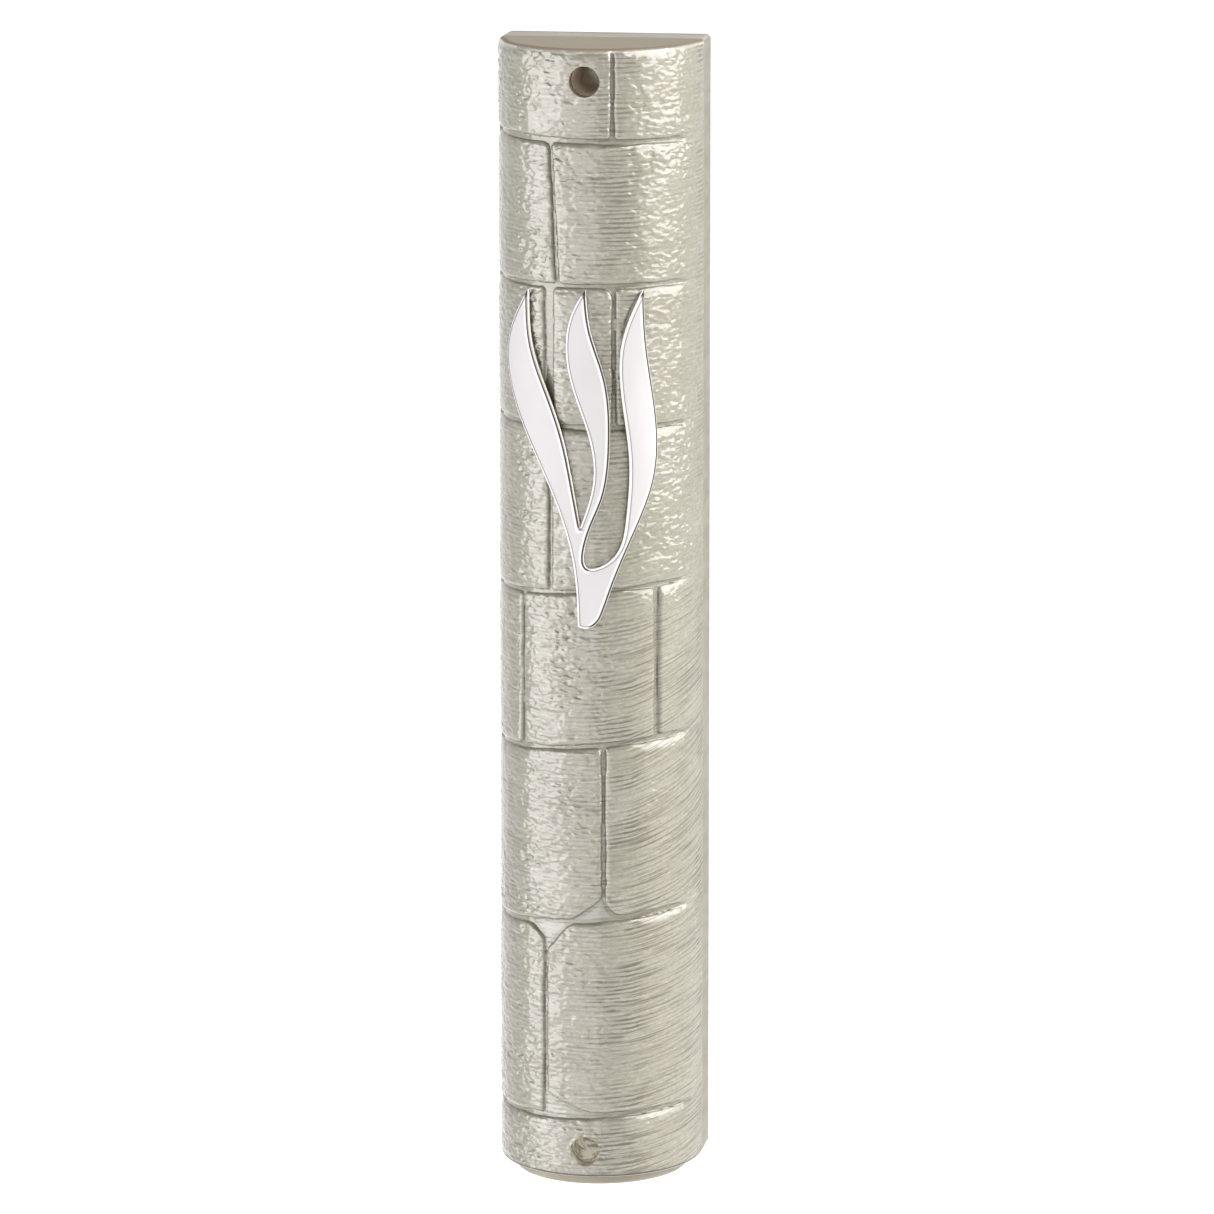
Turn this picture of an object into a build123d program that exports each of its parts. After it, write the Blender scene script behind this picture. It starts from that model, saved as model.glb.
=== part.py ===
from build123d import *
import os
from math import asin, degrees

# A mezuzah case for a door post, about 120 mm tall. The frame: +Z up, the front faces -Y and +X is to
# the right of someone who faces it. The origin is the centre of the flat back face, which lies on y = 0.
# Seen from above, the case is a D: straight sides at the back and half an ellipse in front.

# Case, millimetres
CASE_WIDTH = 21.5
CASE_DEPTH = 17.4
SIDE_DEPTH = 5.5
CASE_HEIGHT = 119.0
WALL = 1.8
TOP_WALL = 1.2
TOP_ROUND = 1.1
BOTTOM_ROUND = 0.5
BACK_CORNER_ROUND = 0.8
HOUSING_END_ROUND = 0.5

# The lap joint where the front shell meets the back housing
TONGUE_LENGTH = 1.2
TONGUE_CLEARANCE = 0.06

# Nail holes, on the centre line
NAIL_HOLE_RADIUS = 1.6
TOP_HOLE_HEIGHT = 56.15
BOTTOM_HOLE_HEIGHT = -56.7

# Cut stone relief of the front shell: bed joints as (height at the centre line, tilt in degrees), from
# the top down, and head joints as (course counted from the top, place across the front)
JOINT_DEPTH = 0.45
BED_JOINT_WIDTH = 0.75
HEAD_JOINT_WIDTH = 0.5
BED_JOINTS = [(50.0, -1.0), (35.0, 0.0), (20.3, -0.5), (3.1, 3.4), (-13.3, 4.6), (-31.9, 4.8), (-52.9, 2.4)]
HEAD_JOINTS = [
    (0, 2.95), (1, -3.4), (2, -4.0), (2, 3.1), (3, -3.8),
    (4, -7.05), (4, 7.3), (5, 2.0), (6, -4.45),
]

# Silvered film inside the front shell
FILM_THICKNESS = 0.2
FILM_CLEARANCE = 0.02
FILM_HOLE_RADIUS = 1.9

# Nail block at the closed top, and the plug in the open bottom
BLOCK_HEIGHT = 5.3
BLOCK_CLEARANCE = 0.05
PLUG_NECK = 5.9
PLUG_CLEARANCE = 0.08
PLUG_LEAD_ROUND = 0.4
FLANGE_INSET = 1.6
FLANGE_THICKNESS = 1.0
FLANGE_GAP = 0.1
FLANGE_ROUND = 0.25

# Letter on the front, and the film of glue that holds it
GLUE_CLEARANCE = 0.02
GLUE_THICKNESS = 0.1
LETTER_THICKNESS = 0.4

# Rolled parchment in its sleeve
SLEEVE_RADIUS = 6.1
SLEEVE_THICKNESS = 0.15
SLEEVE_LENGTH = 102.6
PARCHMENT_LENGTH = 100.0
PARCHMENT_THICKNESS = 0.42
TURN_PITCH = 0.55
INNER_TURN_RADIUS = 1.45
HALF_TURNS = 15
ROLL_TO_PLUG_GAP = 0.4
ROLL_CENTRE_Y = -8.6

HALF_WIDTH = CASE_WIDTH / 2
FRONT_DEPTH = CASE_DEPTH - SIDE_DEPTH
TOP = CASE_HEIGHT / 2
BOTTOM = -CASE_HEIGHT / 2
CAVITY_TOP = TOP - TOP_WALL
OVERSIZE = 60.0


def d_section(inset, rear):
    """The case's D outline, moved inwards by inset, with straight sides back to y = rear."""
    seam = Pos(0, -SIDE_DEPTH)
    half_width = HALF_WIDTH - inset
    oval = seam * Ellipse(half_width, FRONT_DEPTH - inset)
    front = oval & (seam * Rectangle(OVERSIZE, OVERSIZE, align=(Align.CENTER, Align.MAX)))
    if rear <= -SIDE_DEPTH:
        return front
    return front + seam * Rectangle(2 * half_width, rear + SIDE_DEPTH, align=(Align.CENTER, Align.MIN))


def prism(section, low, high):
    return Pos(0, 0, low) * extrude(section, high - low)


def front_skin(inner, outer):
    """The layer in front of the seam between two distances outside the case's surface."""
    return d_section(-outer, -SIDE_DEPTH) - d_section(-inner, -SIDE_DEPTH)


def nail_bore(height, radius):
    """A cylinder along Y right through the case."""
    return Pos(0, -CASE_DEPTH / 2, height) * Rot(90, 0, 0) * Cylinder(radius, OVERSIZE)


def bed_joint(height, tilt):
    return Pos(0, 0, height) * Rot(0, -tilt, 0) * Box(OVERSIZE, OVERSIZE, BED_JOINT_WIDTH)


def head_joint(course, across):
    """An upright slot in one course, cut towards the middle of the ellipse."""
    heights = [TOP + BED_JOINT_WIDTH] + [height for height, tilt in BED_JOINTS]
    high, low = heights[course], heights[course + 1]
    turn = degrees(asin(across / HALF_WIDTH))
    slot = Box(HEAD_JOINT_WIDTH, CASE_DEPTH, high - low, align=(Align.CENTER, Align.MAX, Align.MIN))
    return Pos(0, -SIDE_DEPTH, low) * Rot(0, 0, turn) * slot


def stone_joints():
    """Everything cut out of the front shell between its stones."""
    layer = prism(front_skin(-JOINT_DEPTH, 1.0), BOTTOM - 1, TOP + 1)
    cuts = [bed_joint(height, tilt) for height, tilt in BED_JOINTS]
    cuts += [head_joint(course, across) for course, across in HEAD_JOINTS]
    return [layer & cut for cut in cuts]


def front_shell():
    body = prism(d_section(0, -SIDE_DEPTH), BOTTOM, TOP)
    ellipse_edges = body.edges().filter_by(GeomType.ELLIPSE).sort_by(Axis.Z)
    body = fillet(ellipse_edges[-1], TOP_ROUND)
    ellipse_edges = body.edges().filter_by(GeomType.ELLIPSE).sort_by(Axis.Z)
    body = fillet(ellipse_edges[0], BOTTOM_ROUND)
    shell = body - prism(d_section(WALL, -SIDE_DEPTH), BOTTOM, CAVITY_TOP)
    for side in (-1, 1):
        place = side * (HALF_WIDTH - 0.75 * WALL)
        height = CASE_HEIGHT - 2 * TOP_WALL
        tongue = Box(WALL / 2, TONGUE_LENGTH, height, align=(Align.CENTER, Align.MIN, Align.CENTER))
        shell += Pos(place, -SIDE_DEPTH, 0) * tongue
    for cut in stone_joints():
        shell -= cut
    for height in (TOP_HOLE_HEIGHT, BOTTOM_HOLE_HEIGHT):
        shell -= nail_bore(height, NAIL_HOLE_RADIUS)
    return shell


def back_housing():
    block = Pos(0, -SIDE_DEPTH / 2, 0) * Box(CASE_WIDTH, SIDE_DEPTH, CASE_HEIGHT)
    rear_edges = block.edges().filter_by(Axis.Z).sort_by(Axis.Y)[-2:]
    block = fillet(rear_edges, BACK_CORNER_ROUND)
    top_edges = block.faces().sort_by(Axis.Z)[-1].edges().sort_by(Axis.Y)[1:]
    block = fillet(top_edges, HOUSING_END_ROUND)
    bottom_edges = block.faces().sort_by(Axis.Z)[0].edges().sort_by(Axis.Y)[1:]
    block = fillet(bottom_edges, HOUSING_END_ROUND)
    cavity = d_section(WALL, -WALL)
    housing = block - prism(cavity, BOTTOM, CAVITY_TOP)
    rebate_width = WALL / 2 + TONGUE_CLEARANCE
    rebate_height = CASE_HEIGHT - 2 * TOP_WALL + 2 * TONGUE_CLEARANCE
    for side in (-1, 1):
        place = side * (HALF_WIDTH - WALL + rebate_width / 2)
        rebate = Box(
            rebate_width,
            TONGUE_LENGTH + TONGUE_CLEARANCE,
            rebate_height,
            align=(Align.CENTER, Align.MIN, Align.CENTER),
        )
        housing -= Pos(place, -SIDE_DEPTH, 0) * rebate
    for height in (TOP_HOLE_HEIGHT, BOTTOM_HOLE_HEIGHT):
        housing -= nail_bore(height, NAIL_HOLE_RADIUS)
    return housing


def silver_film():
    outer = WALL + FILM_CLEARANCE
    low, high = BOTTOM + FILM_CLEARANCE, CAVITY_TOP - FILM_CLEARANCE
    film = prism(front_skin(-outer - FILM_THICKNESS, -outer), low, high)
    for height in (TOP_HOLE_HEIGHT, BOTTOM_HOLE_HEIGHT):
        film -= nail_bore(height, FILM_HOLE_RADIUS)
    return film


def inner_section(clearance):
    """The space inside the film, less a clearance."""
    return d_section(WALL + FILM_CLEARANCE + FILM_THICKNESS + clearance, -WALL - clearance)


def top_nail_block():
    block = prism(inner_section(BLOCK_CLEARANCE), CAVITY_TOP - BLOCK_HEIGHT, CAVITY_TOP)
    return block - nail_bore(TOP_HOLE_HEIGHT, NAIL_HOLE_RADIUS)


def end_plug():
    neck = prism(inner_section(PLUG_CLEARANCE), BOTTOM - FLANGE_GAP, BOTTOM + PLUG_NECK)
    neck = fillet(neck.faces().sort_by(Axis.Z)[-1].edges(), PLUG_LEAD_ROUND)
    flange_top = BOTTOM - FLANGE_GAP
    flange = prism(d_section(FLANGE_INSET, -FLANGE_INSET), flange_top - FLANGE_THICKNESS, flange_top)
    flange = fillet(flange.faces().sort_by(Axis.Z)[0].edges(), FLANGE_ROUND)
    return neck + flange - nail_bore(BOTTOM_HOLE_HEIGHT, NAIL_HOLE_RADIUS)


def letter_outline():
    """The letter shin as seen from the front: three flames that meet in a foot. x across, y up."""
    left_tip, middle_tip, right_tip = (-5.9, 34.4), (0.2, 34.8), (5.75, 34.6)
    first_crotch, foot = (-0.35, 9.9), (-0.56, -0.45)
    edges = [
        Spline(
            foot, (-0.9, 5.2), (-2.1, 10.4), (-3.85, 14.8), (-5.95, 19.2), (-7.85, 24.2), (-8.15, 28.8),
            left_tip,
        ),
        Spline(left_tip, (-5.5, 28.7), (-3.85, 24.0), (-2.2, 19.3), (-1.25, 14.9), first_crotch),
        Spline(
            first_crotch, (1.0, 15.0), (0.6, 19.2), (-1.2, 24.9), (-1.75, 28.5), (-1.1, 32.4), middle_tip,
        ),
        Spline(
            middle_tip, (0.65, 30.6), (2.0, 26.0), (2.6, 19.2), (1.85, 12.9), (0.3, 8.6), (0.4, 5.7),
            (2.3, 6.2), (4.2, 10.6), (4.5, 17.0), (3.85, 22.8), (3.75, 28.9), right_tip,
        ),
        Spline(
            right_tip, (5.95, 29.4), (6.85, 21.5), (6.65, 14.7), (4.6, 8.5), (2.6, 3.1), (1.93, 1.07),
            (1.3, -0.1), (0.28, -0.63), foot,
        ),
    ]
    return make_face(edges)


def on_front(outline, inner, outer):
    """An upright outline laid on the curved front as a layer between two distances outside it."""
    upright = Plane((0, 0, 0), x_dir=(1, 0, 0), z_dir=(0, -1, 0)) * outline
    bar = extrude(upright, OVERSIZE, dir=(0, -1, 0))
    return bar & prism(front_skin(inner, outer), BOTTOM, TOP)


def shin_letter():
    inner = GLUE_CLEARANCE + GLUE_THICKNESS
    return on_front(letter_outline(), inner, inner + LETTER_THICKNESS)


def letter_glue():
    return on_front(letter_outline(), GLUE_CLEARANCE, GLUE_CLEARANCE + GLUE_THICKNESS)


def parchment_roll():
    """A sheet rolled up: half circles about two centres in turn, each half a pitch wider than the last."""
    shift = TURN_PITCH / 4
    inner_edges = []
    outer_edges = []
    for step in range(HALF_TURNS):
        side = 1 if step % 2 == 0 else -1
        radius = INNER_TURN_RADIUS + step * TURN_PITCH / 2
        for edges, r in ((inner_edges, radius), (outer_edges, radius + PARCHMENT_THICKNESS)):
            centre = side * shift
            edges.append(ThreePointArc((centre - r, 0), (centre, side * r), (centre + r, 0)))
    last_side = 1 if HALF_TURNS % 2 == 1 else -1
    last_radius = INNER_TURN_RADIUS + (HALF_TURNS - 1) * TURN_PITCH / 2
    start = shift - INNER_TURN_RADIUS
    finish = last_side * (shift + last_radius)
    ends = [
        Line((start, 0), (start - PARCHMENT_THICKNESS, 0)),
        Line((finish, 0), (finish + last_side * PARCHMENT_THICKNESS, 0)),
    ]
    section = Pos(0, ROLL_CENTRE_Y) * make_face(inner_edges + outer_edges + ends)
    low = roll_bottom() + (SLEEVE_LENGTH - PARCHMENT_LENGTH) / 2
    return prism(section, low, low + PARCHMENT_LENGTH)


def roll_bottom():
    return BOTTOM + PLUG_NECK + ROLL_TO_PLUG_GAP


def scroll_sleeve():
    ring = Circle(SLEEVE_RADIUS) - Circle(SLEEVE_RADIUS - SLEEVE_THICKNESS)
    return prism(Pos(0, ROLL_CENTRE_Y) * ring, roll_bottom(), roll_bottom() + SLEEVE_LENGTH)


PARTS = {
    "front_shell": front_shell,
    "back_housing": back_housing,
    "silver_film": silver_film,
    "top_nail_block": top_nail_block,
    "end_plug": end_plug,
    "shin_letter": shin_letter,
    "letter_glue": letter_glue,
    "parchment_roll": parchment_roll,
    "scroll_sleeve": scroll_sleeve,
}

os.makedirs("parts", exist_ok=True)
for name, make in PARTS.items():
    export_step(make(), f"parts/{name}.step")
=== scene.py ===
import math

import bmesh
import bpy
import numpy as np
from mathutils import Matrix, Vector
from mathutils.geometry import delaunay_2d_cdt


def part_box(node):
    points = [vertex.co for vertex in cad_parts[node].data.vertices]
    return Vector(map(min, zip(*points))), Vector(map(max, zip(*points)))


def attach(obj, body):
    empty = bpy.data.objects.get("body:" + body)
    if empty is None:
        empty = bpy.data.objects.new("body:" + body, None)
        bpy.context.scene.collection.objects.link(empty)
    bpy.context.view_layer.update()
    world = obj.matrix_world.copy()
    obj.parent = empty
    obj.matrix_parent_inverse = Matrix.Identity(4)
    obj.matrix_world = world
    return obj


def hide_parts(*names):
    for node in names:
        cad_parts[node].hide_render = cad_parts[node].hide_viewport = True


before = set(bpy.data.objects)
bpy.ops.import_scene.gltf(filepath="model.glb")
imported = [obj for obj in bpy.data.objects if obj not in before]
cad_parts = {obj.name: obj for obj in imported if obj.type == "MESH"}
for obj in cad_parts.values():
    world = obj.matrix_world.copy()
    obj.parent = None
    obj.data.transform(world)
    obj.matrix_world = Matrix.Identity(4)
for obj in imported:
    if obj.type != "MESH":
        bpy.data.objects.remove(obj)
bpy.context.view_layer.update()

# Lengths below are millimetres, in the part's own frame, and MM turns them into Blender's metres.
MM = 0.001


def node_box(name):
    low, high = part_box(name)
    return np.array(low) / MM, np.array(high) / MM


HOUSING_LOW, HOUSING_HIGH = node_box("back_housing")
SHELL_LOW, _ = node_box("front_shell")
_, FILM_HIGH = node_box("silver_film")
HALF_WIDTH = HOUSING_HIGH[0]
SEAM_Y = HOUSING_LOW[1]
FRONT_DEPTH = SEAM_Y - SHELL_LOW[1]
TOP = HOUSING_HIGH[2]
BOTTOM = HOUSING_LOW[2]
FILM_GAP = 0.02
WALL = HALF_WIDTH - FILM_HIGH[0] - FILM_GAP
TOP_WALL = 1.2

# ---------------------------------------------------------------------------------------------------
# The front's half ellipse, measured along its arc: u is 0 in the middle of the front, positive to +X.

ARC_SAMPLES = 4001
ANGLES = np.linspace(-math.pi / 2, math.pi / 2, ARC_SAMPLES)
ARC_X = HALF_WIDTH * np.sin(ANGLES)
ARC_Y = SEAM_Y - FRONT_DEPTH * np.cos(ANGLES)
ARC_U = np.concatenate(([0.0], np.cumsum(np.hypot(np.diff(ARC_X), np.diff(ARC_Y)))))
ARC_U -= ARC_U[-1] / 2
ARC_END = ARC_U[-1]


def arc_u(x):
    """The arc length at a place across the front."""
    return np.interp(x, ARC_X, ARC_U)


def arc_frame(u):
    """x, y and the outward normal at an arc length."""
    angle = np.interp(u, ARC_U, ANGLES)
    normal_x = np.sin(angle) / HALF_WIDTH
    normal_y = -np.cos(angle) / FRONT_DEPTH
    size = np.hypot(normal_x, normal_y)
    return HALF_WIDTH * np.sin(angle), SEAM_Y - FRONT_DEPTH * np.cos(angle), normal_x / size, normal_y / size


# ---------------------------------------------------------------------------------------------------
# Smooth random fields over the unwrapped front. Each shift keeps a lattice's places positive.

LATTICE_SHIFT = 200.0
LATTICE_GAIN = 1.8
FACET_SHIFT_U, FACET_SHIFT_Z = 60.0, 80.0
FACET_LIFT = 0.35


def lattice_noise(u, z, cell_u, cell_z, seed):
    """Smooth noise, mostly within -1 to 1: a seeded lattice of random values with cubic interpolation."""
    rng = np.random.default_rng(seed)
    pu = (u + LATTICE_SHIFT) / cell_u
    pz = (z + LATTICE_SHIFT) / cell_z
    lattice = rng.uniform(-1, 1, (int(pu.max()) + 5, int(pz.max()) + 5))
    iu = pu.astype(int)
    iz = pz.astype(int)
    fu = pu - iu
    fz = pz - iz

    def weights(f):
        return (
            (1 - f) ** 3 / 6,
            (3 * f**3 - 6 * f**2 + 4) / 6,
            (-3 * f**3 + 3 * f**2 + 3 * f + 1) / 6,
            f**3 / 6,
        )

    total = np.zeros_like(u)
    for a, wa in enumerate(weights(fu)):
        for b, wb in enumerate(weights(fz)):
            total += wa * wb * lattice[iu + a, iz + b]
    return total * LATTICE_GAIN


def facets(u, z, cell_u, cell_z, seed, sharpness):
    """A crumpled skin: each cell of a jittered lattice is a small tilted facet, blended with the next."""
    rng = np.random.default_rng(seed)
    pu = (u + FACET_SHIFT_U) / cell_u
    pz = (z + FACET_SHIFT_Z) / cell_z
    shape = (int(pu.max()) + 4, int(pz.max()) + 4)
    jitter = rng.uniform(0.1, 0.9, (*shape, 2))
    tilt = rng.normal(0, 1, (*shape, 2))
    lift = rng.normal(0, FACET_LIFT, shape)
    iu, iz = pu.astype(int), pz.astype(int)
    total = np.zeros_like(pu)
    weight = np.zeros_like(pu)
    for du in (-1, 0, 1):
        for dz in (-1, 0, 1):
            cu, cz = iu + du, iz + dz
            away_u = pu - cu - jitter[cu, cz, 0]
            away_z = pz - cz - jitter[cu, cz, 1]
            w = np.exp(-sharpness * (away_u**2 + away_z**2))
            total += w * (lift[cu, cz] + tilt[cu, cz, 0] * away_u + tilt[cu, cz, 1] * away_z)
            weight += w
    return total / weight


def smoothstep(low, high, value):
    t = np.clip((value - low) / (high - low), 0, 1)
    return t * t * (3 - 2 * t)


# ---------------------------------------------------------------------------------------------------
# Cut stone relief

JOINT_DEPTH = 0.45
# The rounded crown of a stone takes this much of the joint's depth, and the stone's side the rest
CROWN_DEPTH = 0.22
CROWN_EDGE, CROWN_REACH = 0.08, 0.5
SHOULDER_DEPTH, SHOULDER_REACH = 0.20, 1.35
BED_HALF_GAP = 0.24
HEAD_HALF_GAP = 0.20
STONE_BEVEL = 0.42
# A little under 1, so that the side's foot isn't quite upright
SIDE_STEEPNESS = 0.995
CORNER_ROUND = 0.4
# Further than any stone reaches
FAR_AWAY = 9.0
# Bed joints from the top down: height at the centre line, rise to the right in mm per mm
BED_JOINTS = [
    (50.0, -0.02),
    (35.0, 0.0),
    (20.3, -0.01),
    (3.1, 0.06),
    (-13.3, 0.08),
    (-31.9, 0.084),
    (-52.9, 0.042),
]
# Head joints of each course, left to right: place across the front at the course's top and at its bottom
HEAD_JOINTS = [
    [(2.95, 2.95)],
    [(-3.8, -3.0)],
    [(-4.0, -4.0), (3.1, 3.1)],
    [(-3.8, -3.85)],
    [(-7.05, -7.1), (7.3, 7.3)],
    [(2.0, 2.0)],
    [(-4.45, -4.5)],
    [],
]
# Cut corners: (course, stone from the left, corner, size across, size up)
CUT_CORNERS = [
    (4, 2, "bottom left", 0.7, 0.7),
    (5, 0, "bottom right", 3.6, 2.3),
    (5, 1, "bottom left", 1.7, 1.6),
    (5, 0, "top right", 0.7, 0.7),
    (6, 0, "top right", 2.4, 1.9),
    (6, 1, "top left", 3.2, 3.1),
    (6, 1, "bottom left", 5.8, 2.4),
    (1, 0, "top right", 0.8, 0.8),
    (2, 1, "top right", 0.9, 1.1),
]
# Head joints wider than the rest: (course, joint from the left) and half their width
WIDE_HEADS = {(2, 0): 0.6, (4, 1): 0.3}
LAST_COURSE = len(BED_JOINTS)
# The first and the last course run on past the case's ends
RUN_ON = 5


def bed_height(joint, x):
    height, rise = BED_JOINTS[joint]
    return height + rise * x


def stone_edges(u, z, x, course, index):
    """Signed distances to the sides of one stone and to its cut corners, positive outside it."""
    above = TOP + RUN_ON if course == 0 else bed_height(course - 1, x)
    below = BOTTOM - RUN_ON if course == LAST_COURSE else bed_height(course, x)
    heads = HEAD_JOINTS[course]
    low_z = BOTTOM if course == LAST_COURSE else bed_height(course, 0)
    high_z = TOP if course == 0 else bed_height(course - 1, 0)
    share = np.clip((z - low_z) / (high_z - low_z), 0, 1)

    def head(number):
        if number < 0 or number >= len(heads):
            return None
        top_x, bottom_x = heads[number]
        return arc_u(top_x) * share + arc_u(bottom_x) * (1 - share)

    left, right = head(index - 1), head(index)
    edges = [z - above + BED_HALF_GAP, below - z + BED_HALF_GAP]
    if left is not None:
        edges.append(left - u + WIDE_HEADS.get((course, index - 1), HEAD_HALF_GAP))
    if right is not None:
        edges.append(u - right + WIDE_HEADS.get((course, index), HEAD_HALF_GAP))
    cuts = []
    for cut_course, cut_index, corner, across, up in CUT_CORNERS:
        if (cut_course, cut_index) != (course, index):
            continue
        from_side = u - left if "left" in corner else right - u
        from_end = z - below if "bottom" in corner else above - z
        cuts.append((1 - from_side / across - from_end / up) * across * up / math.hypot(across, up))
    return edges, cuts


def stone_relief(u, z):
    """Depth of the cut surface, how far inside a stone a point lies, and where a corner is cut away flat."""
    x = np.interp(u, ARC_U, ARC_X)
    inside = np.full_like(u, -FAR_AWAY)
    below_top = np.full_like(u, FAR_AWAY)
    for course, heads in enumerate(HEAD_JOINTS):
        for index in range(len(heads) + 1):
            edges, cuts = stone_edges(u, z, x, course, index)
            rounded = [edge + CORNER_ROUND for edge in edges + cuts]
            outer = np.sqrt(sum(np.maximum(edge, 0) ** 2 for edge in rounded))
            distance = np.minimum(np.max(rounded, axis=0), 0) + outer - CORNER_ROUND
            below_top = np.where(-distance > inside, -edges[0], below_top)
            inside = np.maximum(inside, -distance)
    inside = inside + 0.05 * lattice_noise(u, z, cell_u=0.9, cell_z=0.7, seed=31)
    inside = inside + 0.07 * lattice_noise(u, z, cell_u=2.6, cell_z=2.2, seed=32)
    t = np.clip(inside / STONE_BEVEL, 0, 1)
    fade = 1 - 0.85 * smoothstep(ARC_END - 7.5, ARC_END - 3.5, u)
    side = (JOINT_DEPTH - CROWN_DEPTH) * (1 - np.sqrt(1 - (1 - t) ** 2 * SIDE_STEEPNESS))
    shoulder = SHOULDER_DEPTH * np.clip(1 - below_top / SHOULDER_REACH, 0, 1) ** 2
    crown = np.maximum(shoulder, CROWN_EDGE * np.exp(-np.maximum(inside, 0) / CROWN_REACH))
    flat = smoothstep(-0.40, -0.55, inside) * smoothstep(-18, -20, z)
    depth = side + np.where(inside > 0, crown, CROWN_DEPTH)
    return depth * fade, inside + 0.6 * (1 - fade), flat


FAR_LEFT = arc_u(-8.5)


def far_left(u):
    """1 at the left end of the front, where the dents are shallow and the dark lines strong."""
    return smoothstep(FAR_LEFT + 2.5, FAR_LEFT - 1.0, u)


def crumple(u, z):
    """The hammered skin: small facets with creases between them, thick in some patches, sparse in others."""
    broad = lattice_noise(u, z, cell_u=2.4, cell_z=1.7, seed=11)
    middle = facets(u, z, cell_u=1.25, cell_z=0.62, seed=12, sharpness=13)
    small = facets(u, z, cell_u=0.72, cell_z=0.46, seed=13, sharpness=12)
    fine = lattice_noise(u, z, cell_u=0.30, cell_z=0.22, seed=14)
    folds = np.abs(lattice_noise(u, z, cell_u=1.1, cell_z=1.5, seed=16))
    wide_patch = lattice_noise(u, z, cell_u=4.5, cell_z=4.0, seed=15)
    small_patch = lattice_noise(u, z, cell_u=1.9, cell_z=1.5, seed=17)
    patch = np.clip(0.4 + 1.1 * wide_patch + 0.7 * small_patch, 0.1, 1.3)
    left = smoothstep(3.0, 1.8, u)
    upper_right = smoothstep(1.5, 5.5, u) * smoothstep(-6, 8, z)
    low_right = smoothstep(2.0, 6.0, u) * smoothstep(10, -2, z)
    strength = 0.6 + 0.35 * patch + 0.25 * left + 0.25 * upper_right * (0.5 + patch)
    strength = strength * (1 - 0.7 * low_right)
    strength = strength * (1 - 0.55 * far_left(u))
    crisp = 1 + 0.35 * left
    # the weights of each size of dent are depths in millimetres
    rough = 0.032 * middle + 0.038 * small * (0.7 + 0.3 * patch) * crisp + 0.014 * fine - 0.06 * folds
    return strength * (0.055 * broad + rough * (1 + 0.35 * smoothstep(1.0, -1.0, u)))


def cavity(dents, us, zs):
    """Where the dents fold inwards, from 0 to 1, over a grid of heights and arc lengths: the mask of the
    painted shade in the creases.
    """
    bend = np.gradient(np.gradient(dents, us, axis=1), us, axis=1)
    bend += np.gradient(np.gradient(dents, zs, axis=0), zs, axis=0)
    return smoothstep(0.6, 3.0, -bend / bend.std())


def level(u, z):
    """Height along the film's fine lines, which climb to the right, most of all in the middle courses."""
    slope = 0.02 + 0.14 * np.exp(-(((z + 8) / 18) ** 2)) + 0.07 * smoothstep(0, -20, z)
    past = np.maximum(u - 1, 0)
    return z - slope * (past**2 / (past + 3) + 0.75 * np.maximum(u - 5, 0)) - 0.03 * np.maximum(-u - 4, 0)


LINE_PITCH = 0.47


def ridges(u, z):
    """Fine ridges pressed across the skin, half a millimetre apart and never quite even."""
    line = level(u, z)
    sway = lattice_noise(u, line, cell_u=11.0, cell_z=1.8, seed=21)
    wave = np.sin(2 * math.pi * (line / LINE_PITCH + 0.3 * sway))
    strength = 0.5 + 1.2 * lattice_noise(u, line, cell_u=3.0, cell_z=0.7, seed=22)
    height = 0.006 + 0.006 * smoothstep(2.0, -1.0, u)
    return height * np.maximum(wave, 0) ** 3 * np.clip(strength, 0.0, 1.3)


def lining(u, z):
    """How strongly the dark lines show: most beside the middle and at both ends, least at upper right."""
    middle = smoothstep(-0.5, 1.5, u) * smoothstep(8.0, 5.0, u)
    upper_right = smoothstep(4.5, 6.5, u) * smoothstep(-4, 4, z)
    lower = smoothstep(0, -12, z) + 1.5 * far_left(u)
    right_end = smoothstep(ARC_END - 4.0, ARC_END - 1.5, u)
    return np.clip(0.36 + 0.50 * middle + 0.15 * lower - 0.25 * upper_right + 0.6 * right_end, 0, 1)


def sweep_and_lit_right(u, z):
    """Where the lines run on long and thin, over the lower right, where the film's tone is also painted
    lighter as painted light.
    """
    return smoothstep(1.5, 6.0, u) * (0.25 + 0.75 * smoothstep(8, -4, z))


# The skin lies this far below the case's surface, and crests that would rise past that surface are cut off
SKIN_DEPTH = 0.09


def outer_depth(u, z):
    """Depth of the surface below the case's, the dents in it, and the masks of its joints, which carry
    painted shade, and of its flats.
    """
    relief, inside, flat = stone_relief(u, z)
    on_stone = smoothstep(-0.1, 0.6, inside)
    calm_edge = smoothstep(ARC_END, ARC_END - 3.0, np.abs(u))
    closing = smoothstep(ARC_END - 0.05, ARC_END - 0.9, np.abs(u))
    dents = crumple(u, z) * (0.25 + 0.75 * on_stone) + ridges(u, z)
    # painted shade in the joints: a darker floor, and a darker line along each stone's edge
    floor = 0.25 * smoothstep(0.10, -0.08, inside)
    edge_shade_line = 0.85 * np.exp(-((inside / 0.075) ** 2))
    joint = np.maximum(floor, edge_shade_line) * (1 - flat)
    return relief * closing + np.maximum(SKIN_DEPTH + dents, 0.0) * calm_edge, dents, joint, flat


# ---------------------------------------------------------------------------------------------------
# Mesh helpers


def new_object(name, vertices, faces, smooth=True):
    """A mesh object from vertices in millimetres."""
    mesh = bpy.data.meshes.new(name)
    mesh.from_pydata((np.asarray(vertices) * MM).tolist(), [], faces)
    mesh.validate()
    obj = bpy.data.objects.new(name, mesh)
    bpy.context.scene.collection.objects.link(obj)
    if smooth:
        mesh.polygons.foreach_set("use_smooth", [True] * len(mesh.polygons))
    mesh.update()
    return obj


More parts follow.
